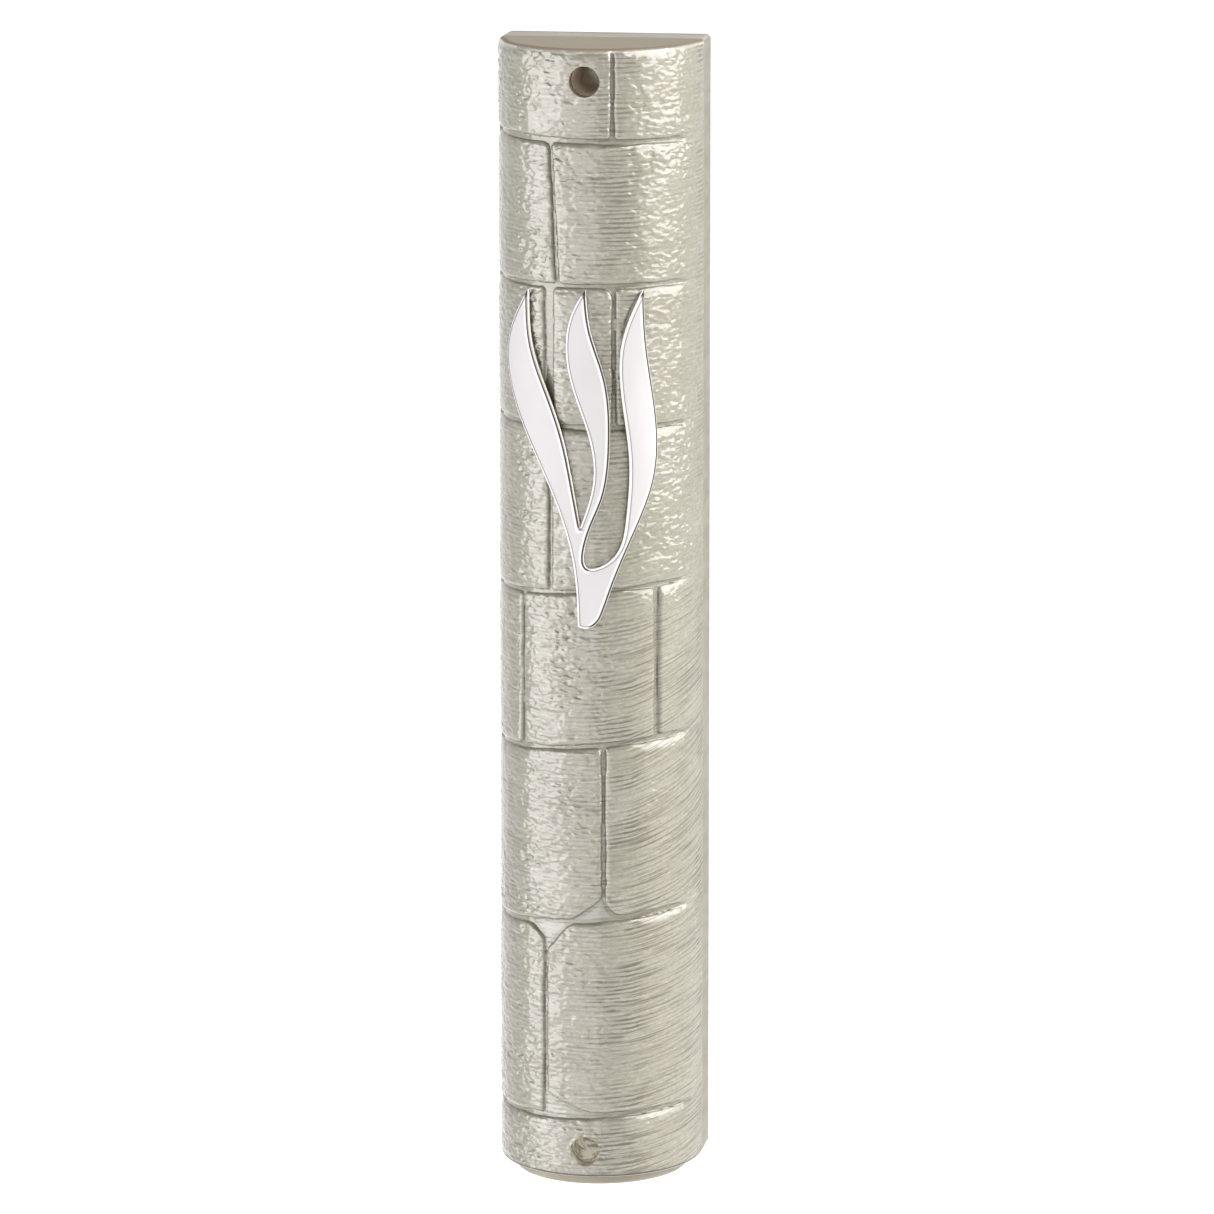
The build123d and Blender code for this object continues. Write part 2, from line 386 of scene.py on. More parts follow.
def grid_faces(rows, columns):
    """Quads over a grid of vertices that are numbered row by row."""
    index = np.arange(rows * columns).reshape(rows, columns)
    quads = np.stack([index[:-1, :-1], index[:-1, 1:], index[1:, 1:], index[1:, :-1]], axis=-1)
    return quads.reshape(-1, 4)


NAIL_RADIUS = 1.6
NAIL_HOLES = (56.15, -56.7)
U_STEP = 0.13
Z_STEP = 0.075
TOP_ROUND = 1.1
SEAM_ROUND = 0.5
BOTTOM_ROUND = 0.5
# Heights within this of a nail hole's middle get close rows on the inner wall
HOLE_MARGIN = 2.2
HOLE_ROW_STEP = 0.12
# The holes go through the front alone, which lies more than this before the seam
FRONT_ONLY = 5
TUBE_STEP = 0.5
RIM_SLACK = 0.02
RIM_INSETS = (0.9, 1.4, WALL)
SHELL_SHARP_DEGREES = 60
# How many rows each part of the grid has, from the top's middle round to the underside of the top wall
TOP_FACE_ROWS, TOP_ROUND_ROWS, BOTTOM_ROUND_ROWS, INNER_ROWS, INNER_TOP_ROWS = 14, 14, 7, 40, 8
# Angles round the end's roundings, up to 90 where they meet the flat ends
RELIEF_FULL, RELIEF_GONE = 22, 58
TOP_FACE_FROM = 62
RIM_FROM = 60
TINY = 1e-6
WELD_METRES = 1e-7
SKIN, TOP_FACE, CLEAR, PALE = range(4)


def shell_rows():
    """Rows of the shell's grid: (height, inset, scale towards the seam's middle, relief share, material)."""
    rows = [(TOP, TOP_ROUND, scale, 0.0, TOP_FACE) for scale in np.linspace(0.0, 0.98, TOP_FACE_ROWS)]
    for degrees in np.linspace(90, 0, TOP_ROUND_ROWS):
        a = math.radians(degrees)
        height = TOP - TOP_ROUND + TOP_ROUND * math.sin(a)
        share = 1 - smoothstep(RELIEF_FULL, RELIEF_GONE, degrees)
        material = TOP_FACE if degrees > TOP_FACE_FROM else SKIN
        rows.append((height, TOP_ROUND * (1 - math.cos(a)), 1, share, material))
    skin = np.arange(TOP - TOP_ROUND, BOTTOM + BOTTOM_ROUND, -Z_STEP)[1:]
    rows += [(z, 0, 1, 1, SKIN) for z in skin]
    for degrees in np.linspace(0, 90, BOTTOM_ROUND_ROWS):
        a = math.radians(degrees)
        height = BOTTOM + BOTTOM_ROUND - BOTTOM_ROUND * math.sin(a)
        material = SKIN if degrees < RIM_FROM else CLEAR
        rows.append((height, BOTTOM_ROUND * (1 - math.cos(a)), 1, 1 - math.sin(a), material))
    rows += [(BOTTOM, inset, 1, 0, CLEAR) for inset in RIM_INSETS]
    inner = set(np.round(np.linspace(BOTTOM, TOP - TOP_WALL, INNER_ROWS)[1:], 4))
    for height in NAIL_HOLES:
        low, high = max(height - HOLE_MARGIN, BOTTOM + 0.1), min(height + HOLE_MARGIN, TOP - TOP_WALL)
        inner |= set(np.round(np.arange(low, high, HOLE_ROW_STEP), 4))
    rows += [(z, WALL, 1, 0, CLEAR) for z in sorted(inner)]
    rows += [(TOP - TOP_WALL, WALL, scale, 0, CLEAR) for scale in np.linspace(1, 0.0, INNER_TOP_ROWS)[1:]]
    return rows


def hole_loops(bm, height):
    """The two round boundaries that a nail hole leaves in the outer skin and in the inner wall."""

    def on_rim(v):
        x, y, z = v.co / MM
        return abs(math.hypot(x, z - height) - NAIL_RADIUS) < RIM_SLACK and y < SEAM_Y - FRONT_ONLY

    edges = [e for e in bm.edges if e.is_boundary and all(on_rim(v) for v in e.verts)]
    middle = (min(e.verts[0].co.y for e in edges) + max(e.verts[0].co.y for e in edges)) / 2
    outer = [e for e in edges if e.verts[0].co.y < middle]
    return outer, [e for e in edges if e.verts[0].co.y >= middle]


def sort_faces(bm):
    """Puts the faces in one fixed order, because the holes' faces come in another one each run."""
    bm.verts.index_update()
    count = len(bm.verts)

    def number(face):
        corners = [v.index for v in face.verts]
        return min(corners) * count + max(corners)

    bm.faces.sort(key=number)


def skin_fields(u, z, share, joint, flat):
    """The masks that the skin's material reads, by name."""
    # painted shade along the foot, where the case meets the plug
    foot_shade_line = smoothstep(BOTTOM + 0.42, BOTTOM + 0.27, z)
    ends = smoothstep(ARC_END - 2.2, ARC_END - 0.6, np.abs(u))
    gloss = (1 - 0.5 * smoothstep(3.5, 6.5, u)) * (1 - 0.5 * share * joint)
    below = TOP - z
    return {
        "flat": share * flat,
        "lining": lining(u, z),
        "sweep_and_lit_right": sweep_and_lit_right(u, z),
        "joint": share * joint,
        "right_end": smoothstep(ARC_END - 3.5, ARC_END - 0.5, u),
        "left_end": smoothstep(FAR_LEFT + 5.0, FAR_LEFT, u),
        "gloss": gloss * (1 - 0.9 * foot_shade_line) * (1 - 0.5 * ends),
        # a dark line just under the top edge, painted shade along the foot, and a painted highlight: the
        # bright line below the first
        "brink_and_foot_shade": smoothstep(0.010, 0.03, below) * smoothstep(0.15, 0.10, below) + 0.95 * foot_shade_line,
        "rounding_highlight": smoothstep(0.18, 0.28, below) * smoothstep(0.55, 0.42, below),
    }


def front_shell():
    """The relief front: outer skin, rounded ends, top face, bottom rim, inner wall and both nail holes."""
    us = np.linspace(-ARC_END, ARC_END, int(2 * ARC_END / U_STEP))
    rows = shell_rows()
    heights, insets, scales, shares, materials = (np.array(column) for column in zip(*rows))
    z = heights[:, None] + np.zeros((1, len(us)))
    inset, scale, share = (column[:, None] for column in (insets, scales, shares))
    # the top rounding tightens towards the seam, where it meets the housing's
    at_top = (z > TOP - TOP_ROUND - TINY) & (inset < WALL - TINY)
    least = SEAM_ROUND / TOP_ROUND
    tight = least + (1 - least) * smoothstep(ARC_END, ARC_END - 3.0, np.abs(us))
    z = np.where(at_top, TOP - (TOP - z) * tight, z)
    inset = np.where(at_top, inset * tight, inset)
    u = np.zeros((len(rows), 1)) + us[None, :]
    x, y, nx, ny = arc_frame(u)
    relief, dents, joint, flat = outer_depth(u, z)
    depth = inset + share * relief
    x = (x - nx * depth) * scale
    y = SEAM_Y + (y - ny * depth - SEAM_Y) * scale
    y[:, 0] = SEAM_Y
    y[:, -1] = SEAM_Y
    vertices = np.stack([x, y, z], axis=-1).reshape(-1, 3)
    quads = grid_faces(len(rows), len(us))
    # a face has the next row's material, or the higher numbered of its two rows' where there is no relief
    finish = np.where(shares[:-1] == 0, np.maximum(materials[:-1], materials[1:]), materials[1:])
    material = np.repeat(finish, len(us) - 1)
    centre = vertices[quads].mean(axis=1)
    for height in NAIL_HOLES:
        in_hole = np.hypot(centre[:, 0], centre[:, 2] - height) < NAIL_RADIUS
        open_face = in_hole & (centre[:, 1] < SEAM_Y - FRONT_ONLY)
        rim = np.intersect1d(quads[open_face], quads[~open_face])
        away = vertices[rim][:, [0, 2]] - (0, height)
        away *= NAIL_RADIUS / np.linalg.norm(away, axis=1)[:, None]
        vertices[rim, 0] = away[:, 0]
        vertices[rim, 2] = height + away[:, 1]
        quads, material, centre = quads[~open_face], material[~open_face], centre[~open_face]
    obj = new_object("front_shell_relief", vertices, quads.tolist())
    mesh = obj.data
    mesh.polygons.foreach_set("material_index", material.astype(np.int32))
    lay = np.stack([u, level(u, z), np.zeros_like(u)], axis=-1)
    mesh.attributes.new("lay", "FLOAT_VECTOR", "POINT").data.foreach_set("vector", lay.ravel())
    fields = skin_fields(u, z, share, joint, flat)
    skin = (materials == SKIN) & (shares > 0)
    fields["cavity"] = np.zeros_like(u)
    fields["cavity"][skin] = cavity(dents[skin], us, z[skin, 0])
    for name, values in fields.items():
        mesh.attributes.new(name, "FLOAT", "POINT").data.foreach_set("value", values.ravel())
    bm = bmesh.new()
    bm.from_mesh(mesh)
    for height, inner_material in zip(NAIL_HOLES, (TOP_FACE, PALE)):
        outer, inner = hole_loops(bm, height)
        for _ in range(2):
            made = bmesh.ops.extrude_edge_only(bm, edges=outer)["geom"]
            corners = [v for v in made if isinstance(v, bmesh.types.BMVert)]
            bmesh.ops.translate(bm, verts=corners, vec=(0, TUBE_STEP * MM, 0))
            outer = [e for e in made if isinstance(e, bmesh.types.BMEdge) and e.is_boundary]
            for face in (f for f in made if isinstance(f, bmesh.types.BMFace)):
                face.material_index = inner_material
        for face in bmesh.ops.bridge_loops(bm, edges=outer + inner)["faces"]:
            face.material_index = inner_material
    bmesh.ops.remove_doubles(bm, verts=bm.verts, dist=WELD_METRES)
    bmesh.ops.recalc_face_normals(bm, faces=bm.faces)
    for face in bm.faces:
        face.smooth = True
    sort_faces(bm)
    bm.to_mesh(mesh)
    bm.free()
    mesh.set_sharp_from_angle(angle=math.radians(SHELL_SHARP_DEGREES))
    return obj


# ---------------------------------------------------------------------------------------------------
# The letter


def natural_spline(points, samples):
    """A smooth curve through the points, sampled evenly along the chords between them."""
    p = np.array(points, float)
    t = np.concatenate(([0.0], np.cumsum(np.linalg.norm(np.diff(p, axis=0), axis=1))))
    n = len(p)
    h = np.diff(t)
    matrix = np.zeros((n, n))
    right = np.zeros((n, 2))
    matrix[0, 0] = matrix[-1, -1] = 1
    for i in range(1, n - 1):
        matrix[i, i - 1], matrix[i, i], matrix[i, i + 1] = h[i - 1], 2 * (h[i - 1] + h[i]), h[i]
        right[i] = 6 * ((p[i + 1] - p[i]) / h[i] - (p[i] - p[i - 1]) / h[i - 1])
    bend = np.linalg.solve(matrix, right)
    s = np.linspace(0, t[-1], samples)
    k = np.clip(np.searchsorted(t, s, side="right") - 1, 0, n - 2)
    a = ((t[k + 1] - s) / h[k])[:, None]
    b = 1 - a
    hk = h[k][:, None]
    return a * p[k] + b * p[k + 1] + ((a**3 - a) * bend[k] + (b**3 - b) * bend[k + 1]) * hk**2 / 6


LEFT_TIP, MIDDLE_TIP, RIGHT_TIP = (-5.9, 34.4), (0.2, 34.8), (5.75, 34.6)
CROTCH, FOOT = (-0.35, 9.9), (-0.56, -0.45)
LETTER_TIPS = (LEFT_TIP, MIDDLE_TIP, RIGHT_TIP)
LETTER_SIDES = [
    [FOOT, (-0.9, 5.2), (-2.1, 10.4), (-3.85, 14.8), (-5.95, 19.2), (-7.85, 24.2), (-8.15, 28.8), LEFT_TIP],
    [LEFT_TIP, (-5.5, 28.7), (-3.85, 24.0), (-2.2, 19.3), (-1.25, 14.9), CROTCH],
    [CROTCH, (1.0, 15.0), (0.6, 19.2), (-1.2, 24.9), (-1.75, 28.5), (-1.1, 32.4), MIDDLE_TIP],
    [MIDDLE_TIP, (0.65, 30.6), (2.0, 26.0), (2.6, 19.2), (1.85, 12.9), (0.3, 8.6), (0.4, 5.7), (2.3, 6.2),
     (4.2, 10.6), (4.5, 17.0), (3.85, 22.8), (3.75, 28.9), RIGHT_TIP],
    [RIGHT_TIP, (5.95, 29.4), (6.85, 21.5), (6.65, 14.7), (4.6, 8.5), (2.6, 3.1), (1.93, 1.07), (1.3, -0.1),
     (0.28, -0.63), FOOT],
]
LETTER_BACK = 0.12
LETTER_THICKNESS = 0.4
LETTER_BEVEL = 0.17
BEVEL_SLOPE = 0.35
LETTER_SHARP_DEGREES = 28
OUTLINE_STEP = 0.16
# Rings of points inside the outline, then a square grid of them over what is left of the face
RING_DISTANCES = (0.05, 0.10, LETTER_BEVEL, 0.21, 0.26, 0.32, 0.38, 0.50)
RING_SLACK = 0.012
GRID_STEP = 0.4
GRID_MARGIN = 0.7
# Where the painted shade of the crease lies between bevel and face, and how wide the dark rim of painted
# shade on the right is
CREASE_INSET = 0.215
RIM_WIDTH = 0.27
FACE, WALL_FACE = range(2)


def letter_outline():
    """The letter's closed outline: arc length across the front, and height."""
    points = []
    for side in LETTER_SIDES:
        length = sum(math.dist(a, b) for a, b in zip(side, side[1:]))
        points.extend(natural_spline(side, int(length / OUTLINE_STEP))[:-1])
    outline = np.array(points)
    outline[:, 0] = arc_u(outline[:, 0])
    return outline


def outline_distance(points, outline):
    """Distance from each point to the closed outline."""
    start, step = outline, np.roll(outline, -1, axis=0) - outline
    offset = points[:, None, :] - start[None, :, :]
    along = np.clip((offset * step).sum(-1) / (step * step).sum(-1), 0, 1)
    return np.linalg.norm(offset - along[..., None] * step, axis=-1).min(axis=1)


def side_facing(points, outline):
    """How far the nearest edge of the outline faces right, from -1 to 1."""
    step = np.roll(outline, -1, axis=0) - outline
    middle = outline + step / 2
    nearest = np.linalg.norm(points[:, None, :] - middle[None, :, :], axis=-1).argmin(axis=1)
    return -step[nearest, 1] / np.linalg.norm(step[nearest], axis=1)


def letter_lift(distance):
    """Height of the letter's top above its back: a bevel that rises from the edge, then a level face."""
    rise = np.clip(distance / LETTER_BEVEL, 0, 1)
    return LETTER_THICKNESS - LETTER_BEVEL * (1 - rise) * BEVEL_SLOPE


def shin_letter():
    """The letter as thin bevelled sheet, bent to the curve of the front."""
    outline = letter_outline()
    count = len(outline)
    tangent = np.roll(outline, -1, axis=0) - np.roll(outline, 1, axis=0)
    inward = np.stack([tangent[:, 1], -tangent[:, 0]], axis=-1) / np.linalg.norm(tangent, axis=1)[:, None]
    points = [outline]
    for distance in RING_DISTANCES:
        ring = outline + inward * distance
        points.append(ring[outline_distance(ring, outline) > distance - RING_SLACK])
    across, up = (np.arange(side.min(), side.max(), GRID_STEP) for side in outline.T)
    grid = np.stack(np.meshgrid(across, up), axis=-1).reshape(-1, 2)
    points.append(grid[outline_distance(grid, outline) > GRID_MARGIN])
    flat = np.concatenate(points)
    loop = [(k, (k + 1) % count) for k in range(count)]
    made = delaunay_2d_cdt([Vector(p) for p in flat], loop, [], 1, TINY)
    flat = np.array([tuple(v) for v in made[0]])
    triangles = [tuple(face) for face in made[2]]
    distance = outline_distance(flat, outline)
    top = LETTER_BACK + letter_lift(distance)
    x, y, nx, ny = arc_frame(flat[:, 0])

    def layer(lift):
        return np.stack([x + nx * lift, y + ny * lift, flat[:, 1]], axis=-1)

    # an edge that no triangle uses the other way round lies on the outline, and gets a wall
    used = dict.fromkeys(edge for a, b, c in triangles for edge in ((a, b), (b, c), (c, a)))
    border = [edge for edge in used if (edge[1], edge[0]) not in used]
    total = len(flat)
    vertices = np.concatenate([layer(top), layer(np.full(total, LETTER_BACK))])
    faces = triangles + [(c + total, b + total, a + total) for a, b, c in triangles]
    walls = [(b, a, a + total, b + total) for a, b in border]
    obj = new_object("shin_letter_chrome", vertices, faces + walls)
    mesh = obj.data
    mesh.polygons.foreach_set("material_index", [FACE] * len(faces) + [WALL_FACE] * len(walls))
    right = side_facing(flat, outline)
    to_tips = [np.hypot(flat[:, 0] - arc_u(x_tip), flat[:, 1] - z_tip) for x_tip, z_tip in LETTER_TIPS]
    tip = np.min(to_tips, axis=0)
    on_right = smoothstep(-0.1, 0.5, right)
    spread = 0.045 + 0.035 * smoothstep(arc_u(-3), arc_u(-6), flat[:, 0])
    # painted shade in the crease between bevel and face, on the edges that face left
    crease = np.exp(-(((distance - CREASE_INSET) / spread) ** 2)) * smoothstep(0.6, -0.2, right)
    # painted shade: a dark rim along the edges that face right, and at the tips
    rim = smoothstep(0.03, 0.07, distance) * smoothstep(RIM_WIDTH, 0.22, distance) * on_right
    rim = np.maximum(rim, smoothstep(0.95, 0.55, tip))
    # painted highlight on the bevel, which reaches further in on the edges that face right
    reach = LETTER_BEVEL + RIM_WIDTH * on_right
    bevel = smoothstep(reach + 0.04, reach - 0.02, distance)
    bevel = bevel * smoothstep(0.0, 0.06, distance + 0.06 * (1 - on_right))
    # each mask holds for the top's vertices, and is 0 at the back's
    fields = {"crease": crease, "rim": rim, "bevel": bevel, "rise": np.ones(total)}
    for name, values in fields.items():
        values = np.concatenate([values, np.zeros(total)])
        mesh.attributes.new(name, "FLOAT", "POINT").data.foreach_set("value", values)
    bm = bmesh.new()
    bm.from_mesh(mesh)
    bmesh.ops.recalc_face_normals(bm, faces=bm.faces)
    bm.to_mesh(mesh)
    bm.free()
    mesh.set_sharp_from_angle(angle=math.radians(LETTER_SHARP_DEGREES))
    return obj


# ---------------------------------------------------------------------------------------------------
# Materials


# A Mix node's colour sockets
COLOUR_A, COLOUR_B, COLOUR_OUT = 6, 7, 2


class Nodes:
    """Builds one node material, with short calls for the nodes that these materials share."""

    def __init__(self, name):
        self.material = bpy.data.materials.new(name)
        self.material.use_nodes = True
        self.tree = self.material.node_tree
        self.shader = self.tree.nodes["Principled BSDF"]
        self.coordinates = self.tree.nodes.new("ShaderNodeTexCoord")

    def set(self, **values):
        for name, value in values.items():
            self.shader.inputs[name.replace("_", " ")].default_value = value

    def link(self, output, target):
        self.tree.links.new(output, target)

    def feed(self, name, output):
        """Links an output to the shader's socket of that name."""
        self.link(output, self.shader.inputs[name])

    def separate(self, vector):
        node = self.tree.nodes.new("ShaderNodeSeparateXYZ")
        self.link(vector, node.inputs["Vector"])
        return node.outputs

    def attribute(self, name, output="Fac"):
        node = self.tree.nodes.new("ShaderNodeAttribute")
        node.attribute_name = name
        return node.outputs[output]

    def math(self, operation, first, second=0.0):
        node = self.tree.nodes.new("ShaderNodeMath")
        node.operation = operation
        for value, socket in ((first, node.inputs[0]), (second, node.inputs[1])):
            if isinstance(value, (int, float)):
                socket.default_value = value
            else:
                self.link(value, socket)
        return node.outputs[0]

    def noise(self, scale_xyz, detail=2.0, roughness=0.5, distortion=0.0, vector=None):
        """Noise with its own scale along each axis, over the object's place in metres or a given vector."""
        mapping = self.tree.nodes.new("ShaderNodeMapping")
        mapping.inputs["Scale"].default_value = scale_xyz
        self.link(vector or self.coordinates.outputs["Object"], mapping.inputs["Vector"])
        noise = self.tree.nodes.new("ShaderNodeTexNoise")
        noise.inputs["Scale"].default_value = 1.0
        noise.inputs["Detail"].default_value = detail
        noise.inputs["Roughness"].default_value = roughness
        noise.inputs["Distortion"].default_value = distortion
        self.link(mapping.outputs["Vector"], noise.inputs["Vector"])
        return noise.outputs["Fac"]

    def map_range(self, value, **limits):
        node = self.tree.nodes.new("ShaderNodeMapRange")
        for name, limit in limits.items():
            node.inputs[name.replace("_", " ")].default_value = limit
        self.link(value, node.inputs["Value"])
        return node.outputs["Result"]

    def ramp(self, value, low, high):
        """0 where the value is low, 1 where it is high, and clamped past them."""
        return self.map_range(value, From_Min=low, From_Max=high)

    def scaled(self, value, low, high):
        """A 0 to 1 value stretched between two numbers."""
        return self.map_range(value, To_Min=low, To_Max=high)

    def mix(self, factor, first, second):
        node = self.tree.nodes.new("ShaderNodeMix")
        node.data_type = "RGBA"
        if isinstance(factor, (int, float)):
            node.inputs["Factor"].default_value = factor
        else:
            self.link(factor, node.inputs["Factor"])
        for value, socket in ((first, node.inputs[COLOUR_A]), (second, node.inputs[COLOUR_B])):
            if isinstance(value, tuple):
                socket.default_value = (*value, 1)
            else:
                self.link(value, socket)
        return node.outputs[COLOUR_OUT]

    def add(self, first, second, weight):
        """first + weight * second"""
        node = self.tree.nodes.new("ShaderNodeMath")
        node.operation = "MULTIPLY_ADD"
        self.link(second, node.inputs[0])
        node.inputs[1].default_value = weight
        self.link(first, node.inputs[2])
        return node.outputs[0]

    def bump(self, height, distance_mm):
        node = self.tree.nodes.new("ShaderNodeBump")
        node.inputs["Strength"].default_value = 1.0
        node.inputs["Distance"].default_value = distance_mm * MM
        self.link(height, node.inputs["Height"])
        self.link(node.outputs["Normal"], self.shader.inputs["Normal"])


SILVER, LIGHT_SILVER = (0.163, 0.157, 0.112), (0.187, 0.181, 0.137)
LIT_RIGHT_SILVER = (0.244, 0.237, 0.181)
RIGHT_END_TONE = (0.172, 0.152, 0.105)
LEFT_END_TONE = (0.112, 0.116, 0.080)
GLEAM_TONE = (0.270, 0.262, 0.206)
GRAIN_TONE = (0.100, 0.093, 0.064)
FOLD_SHADE_TONE = (0.092, 0.085, 0.070)
LINE_TONE = (0.056, 0.048, 0.028)
JOINT_SHADE_TONE = (0.088, 0.080, 0.053)
ROUNDING_HIGHLIGHT_TONE = (0.52, 0.50, 0.44)
FLAT_TONE = (0.182, 0.180, 0.148)
EDGE_LINE_AND_FOOT_SHADE_TONE = (0.030, 0.027, 0.018)
CLEAR_IOR = 1.59


def pearl_skin():
    """Clear gloss over silver film, with fine dark lines that run level across it and come and go."""
    n = Nodes("pearl_skin")
    # in millimetres: X along the arc, Y across the film's lines
    lay = n.attribute("lay", "Vector")
    sway = n.noise((0.10, 0.5, 1), detail=1, vector=lay)
    line = n.math("MULTIPLY", n.separate(lay)["Y"], 1 / LINE_PITCH)
    phase = n.math("ADD", line, n.math("MULTIPLY", sway, 1.6))
    wave = n.math("SINE", n.math("MULTIPLY", phase, 2 * math.pi))
    broken = n.noise((0.40, 2.1, 1), detail=3, roughness=0.6, vector=lay)
    thread = n.noise((0.10, 5.0, 1), detail=2, roughness=0.6, vector=lay)
    patch = n.scaled(n.ramp(n.noise((0.16, 0.34, 1), detail=2, vector=lay), 0.42, 0.60), 0.22, 1.0)
    score = n.math("MULTIPLY", n.ramp(n.add(broken, wave, 0.17), 0.50, 0.62), patch)
    thin = n.math("MULTIPLY", n.ramp(thread, 0.52, 0.62), n.attribute("sweep_and_lit_right"))
    dark = n.math("MAXIMUM", n.math("MULTIPLY", score, n.attribute("lining")), n.math("MULTIPLY", thin, 0.8))
    light = n.ramp(n.noise((0.5, 2.8, 1), detail=3, roughness=0.7, vector=lay), 0.52, 0.66)
    cloud = n.ramp(n.noise((0.14, 0.2, 1), detail=3, vector=lay), 0.3, 0.7)
    grain = n.ramp(n.noise((1.7, 3.2, 1), detail=4, roughness=0.8, vector=lay), 0.42, 0.62)
    tone = n.mix(cloud, SILVER, LIGHT_SILVER)
    # painted light: the film's tone painted lighter over the lower right
    tone = n.mix(n.math("MULTIPLY", n.attribute("sweep_and_lit_right"), 0.55), tone, LIT_RIGHT_SILVER)
    tone = n.mix(n.math("MULTIPLY", n.attribute("right_end"), 0.5), tone, RIGHT_END_TONE)
    tone = n.mix(n.math("MULTIPLY", n.attribute("left_end"), 0.6), tone, LEFT_END_TONE)
    tone = n.mix(n.math("MULTIPLY", light, 0.55), tone, GLEAM_TONE)
    tone = n.mix(n.math("MULTIPLY", grain, 0.40), tone, GRAIN_TONE)
    # painted shade: the film darker where the dents fold inwards
    tone = n.mix(n.math("MULTIPLY", n.attribute("cavity"), 0.15), tone, FOLD_SHADE_TONE)
    tone = n.mix(n.math("MULTIPLY", dark, 0.90), tone, LINE_TONE)
    # painted shade in the joints
    tone = n.mix(n.math("MULTIPLY", n.attribute("joint"), 0.85), tone, JOINT_SHADE_TONE)
    # painted highlight: a bright line on the top rounding
    tone = n.mix(n.math("MULTIPLY", n.attribute("rounding_highlight"), n.scaled(light, 0.25, 0.9)), tone, ROUNDING_HIGHLIGHT_TONE)
    tone = n.mix(n.math("MULTIPLY", n.attribute("flat"), 0.8), tone, FLAT_TONE)
    # a dark line under the top edge, and painted shade along the foot
    tone = n.mix(n.attribute("brink_and_foot_shade"), tone, EDGE_LINE_AND_FOOT_SHADE_TONE)
    n.feed("Base Color", tone)
    n.feed("Roughness", n.scaled(light, 0.52, 0.42))
    n.feed("Coat Weight", n.attribute("gloss"))
    n.set(Metallic=0.3, Coat_Roughness=0.05, Coat_IOR=CLEAR_IOR)
    n.bump(n.math("SUBTRACT", 1.0, n.math("MULTIPLY", score, n.attribute("lining"))), 0.006)
    n.feed("Coat Normal", n.shader.inputs["Normal"].links[0].from_socket)
    return n.material


def top_face():
    """The closed top, dull brown where the block shows through it."""
    n = Nodes("top_face")
    haze = n.ramp(n.noise((300, 300, 300), detail=3), 0.35, 0.65)
    tone = n.mix(haze, (0.160, 0.138, 0.092), (0.200, 0.178, 0.125))
    n.feed("Base Color", n.mix(n.attribute("brink_and_foot_shade"), tone, (0.15, 0.105, 0.075)))
    n.feed("Roughness", n.scaled(haze, 0.45, 0.6))
    n.set(Specular_IOR_Level=0.2)
    n.bump(haze, 0.02)
    return n.material


def clear_plastic(name, dark, light):
    """Clear, slightly tinted moulded plastic with faint flow marks."""
    n = Nodes(name)
    flow = n.noise((120, 120, 18), detail=3, roughness=0.55, distortion=0.4)
    fine = n.noise((1500, 1500, 700), detail=2)
    shade = n.ramp(n.add(flow, fine, 0.25), 0.4, 0.8)
    n.feed("Base Color", n.mix(shade, dark, light))
    n.feed("Roughness", n.scaled(shade, 0.16, 0.3))
    n.set(Coat_Weight=0.6, Coat_Roughness=0.12, Coat_IOR=1.45)
    n.bump(n.add(flow, fine, 0.2), 0.05)
    return n.material


def side_plastic():
    """The housing: tinted plastic with the front's fine lines, and a top painted paler than its sides as
    painted light, between two brown edges.
    """
    n = Nodes("side_plastic")
    haze = n.ramp(n.noise((150, 150, 60), detail=3, distortion=0.3), 0.3, 0.7)
    place = n.separate(n.coordinates.outputs["Object"])
    rise = n.add(place["Z"], place["Y"], -0.3)
    wave = n.math("SINE", n.math("MULTIPLY", rise, 2 * math.pi / (LINE_PITCH * MM)))
    lines = n.ramp(n.add(n.noise((160, 160, 900), detail=3, roughness=0.6), wave, 0.12), 0.48, 0.60)
    on_top = n.ramp(place["Z"], (TOP - 0.30) * MM, (TOP - 0.12) * MM)
    front_edge = n.ramp(place["Y"], (SEAM_Y + 0.55) * MM, (SEAM_Y + 0.35) * MM)
    rear_edge = n.ramp(place["Y"], -1.5 * MM, -1.0 * MM)
    tone = n.mix(haze, (0.110, 0.099, 0.068), (0.136, 0.123, 0.087))
    beside = n.ramp(n.math("ABSOLUTE", place["X"]), (HALF_WIDTH - 1.2) * MM, (HALF_WIDTH - 0.4) * MM)
    lines = n.math("MULTIPLY", lines, n.scaled(beside, 0.3, 1.0))
    tone = n.mix(n.math("MULTIPLY", lines, 0.65), tone, (0.066, 0.055, 0.035))
    # painted light: the top end of the same plastic painted about twice as light as its sides
    end = n.mix(haze, (0.236, 0.213, 0.170), (0.190, 0.169, 0.132))
    end = n.mix(n.math("MAXIMUM", front_edge, rear_edge), end, (0.105, 0.084, 0.062))
    n.feed("Base Color", n.mix(on_top, tone, end))
    n.feed("Roughness", n.scaled(haze, 0.30, 0.42))
    n.set(Specular_IOR_Level=0.25)
    n.bump(lines, 0.01)
    return n.material


